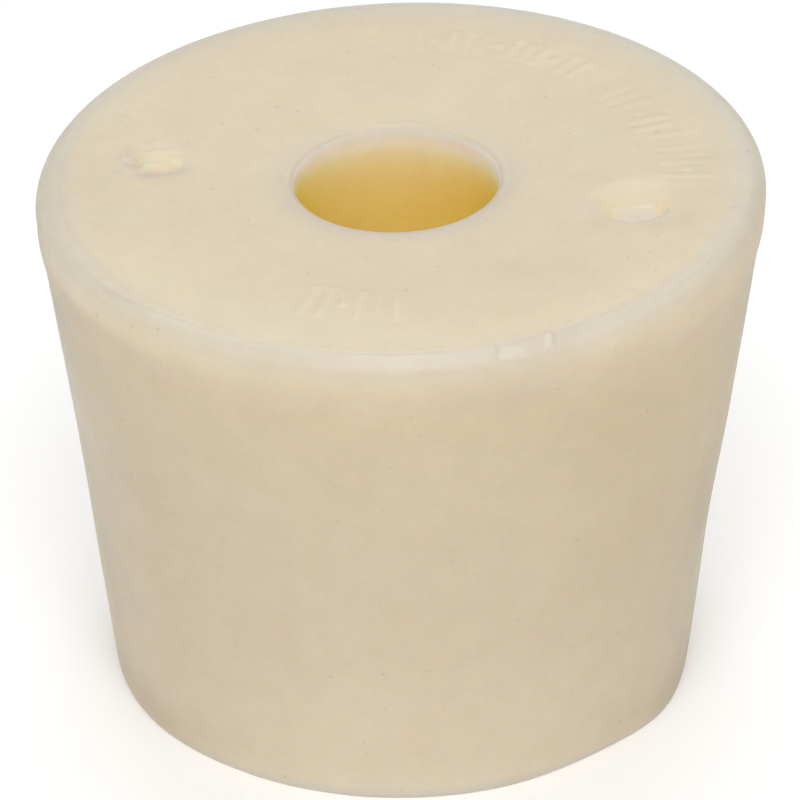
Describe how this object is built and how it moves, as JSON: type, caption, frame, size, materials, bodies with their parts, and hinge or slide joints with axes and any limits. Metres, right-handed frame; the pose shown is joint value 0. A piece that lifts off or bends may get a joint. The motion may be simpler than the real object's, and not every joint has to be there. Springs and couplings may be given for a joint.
{
  "type": "rubber stopper",
  "caption": "Tapered plug of cream gum rubber with a straight hole along its axis, for sealing the neck of a flask, bottle or jug round a tube.",
  "frame": {"origin": "centre of the small end, on the face that the stopper stands on", "axes": "+Z along the hole from the small end to the large end; -Y towards the viewer of the front, with the clean gate mark near +X and the torn one near -X"},
  "size_m": [0.0337, 0.0338, 0.0254],
  "materials": {
    "gum_rubber": "satin cream gum rubber, slightly translucent, ochre inside the hole"
  },
  "bodies": {
    "root": {"stopper": "gum_rubber"}
  },
  "joints": []
}
